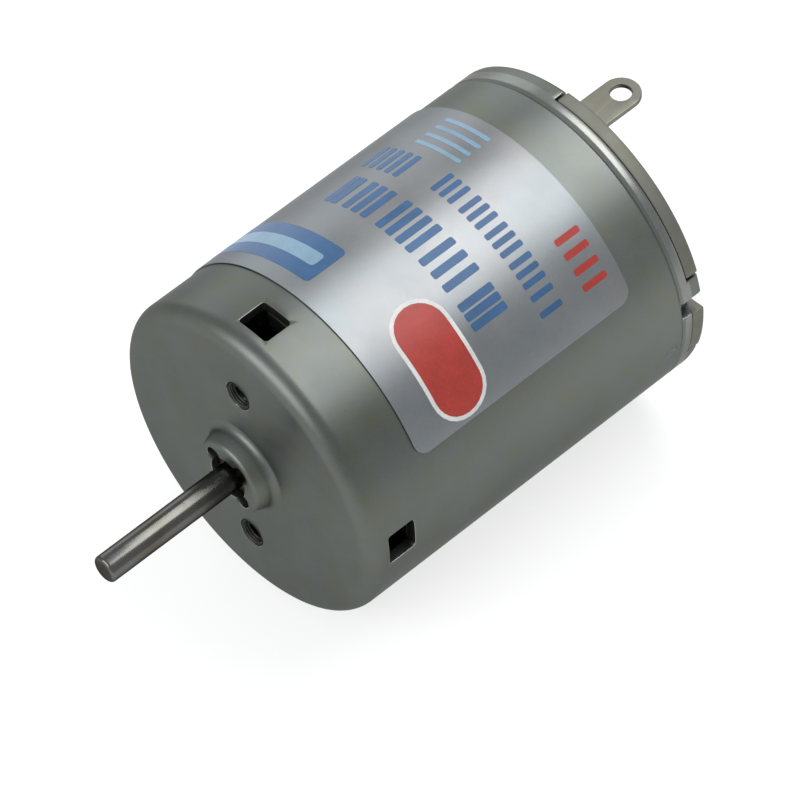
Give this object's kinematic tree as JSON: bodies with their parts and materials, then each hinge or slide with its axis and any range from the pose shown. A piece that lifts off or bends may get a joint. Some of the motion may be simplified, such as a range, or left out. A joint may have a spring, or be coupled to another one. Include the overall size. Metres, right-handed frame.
{
  "type": "electric motor",
  "caption": "Small round can DC motor with a plain front shaft, a bearing boss, a rear cover and solder tabs.",
  "frame": {"origin": "centre of the can's flat front face, on the shaft's axis, where the motor seats on its bracket", "axes": "+Y along the shaft's axis towards the rear cover, so the free shaft points along -Y; +Z through the top terminal and one screw hole; +X by the right-hand rule"},
  "size_m": [0.0243, 0.0487, 0.0244],
  "materials": {
    "can": "zinc-plated drawn steel, satin",
    "label": "silver foil sticker, printed",
    "front_bush": "sintered bronze, oil-dark",
    "rear_bush": "sintered bronze, oil-dark",
    "magnet_left": "ferrite, matt black",
    "magnet_right": "ferrite, matt black",
    "magnet_clip_top": "spring steel",
    "magnet_clip_bottom": "spring steel",
    "shaft": "ground steel, bright",
    "armature_core": "stacked steel laminations",
    "core_insulator_front": "fibre sheet, green",
    "core_insulator_rear": "fibre sheet, green",
    "winding_1": "enamelled copper wire",
    "winding_2": "enamelled copper wire",
    "winding_3": "enamelled copper wire",
    "commutator_hub": "phenolic moulding",
    "commutator_segment_1": "copper, polished by the brushes",
    "commutator_segment_2": "copper, polished by the brushes",
    "commutator_segment_3": "copper, polished by the brushes",
    "commutator_ring": "fibre ring",
    "varistor_ring": "sintered oxide ring, matt",
    "spacer_front": "nylon tube",
    "spacer_rear": "nylon tube",
    "thrust_washer_front": "fibre washer",
    "thrust_washer_rear": "fibre washer",
    "end_cap": "plated steel, olive-grey, dull",
    "brush_holder": "phenolic moulding",
    "terminal_top": "tinned brass strip",
    "terminal_bottom": "tinned brass strip",
    "brush_arm_right": "phosphor bronze spring",
    "brush_arm_left": "phosphor bronze spring",
    "brush_right": "graphite block",
    "brush_left": "graphite block"
  },
  "bodies": {
    "housing": {"can": "can", "label": "label", "front_bush": "front_bush", "rear_bush": "rear_bush", "magnet_left": "magnet_left", "magnet_right": "magnet_right", "magnet_clip_top": "magnet_clip_top", "magnet_clip_bottom": "magnet_clip_bottom", "end_cap": "end_cap", "brush_holder": "brush_holder", "terminal_top": "terminal_top", "terminal_bottom": "terminal_bottom", "brush_arm_right": "brush_arm_right", "brush_arm_left": "brush_arm_left", "brush_right": "brush_right", "brush_left": "brush_left"},
    "rotor": {"shaft": "shaft", "armature_core": "armature_core", "core_insulator_front": "core_insulator_front", "core_insulator_rear": "core_insulator_rear", "winding_1": "winding_1", "winding_2": "winding_2", "winding_3": "winding_3", "commutator_hub": "commutator_hub", "commutator_segment_1": "commutator_segment_1", "commutator_segment_2": "commutator_segment_2", "commutator_segment_3": "commutator_segment_3", "commutator_ring": "commutator_ring", "varistor_ring": "varistor_ring", "spacer_front": "spacer_front", "spacer_rear": "spacer_rear", "thrust_washer_front": "thrust_washer_front", "thrust_washer_rear": "thrust_washer_rear"}
  },
  "joints": [
    {"name": "rotor_spin", "type": "hinge", "parent": "housing", "child": "rotor", "pos_m": [0, 0, 0], "axis": [0, 1, 0], "continuous": true}
  ]
}
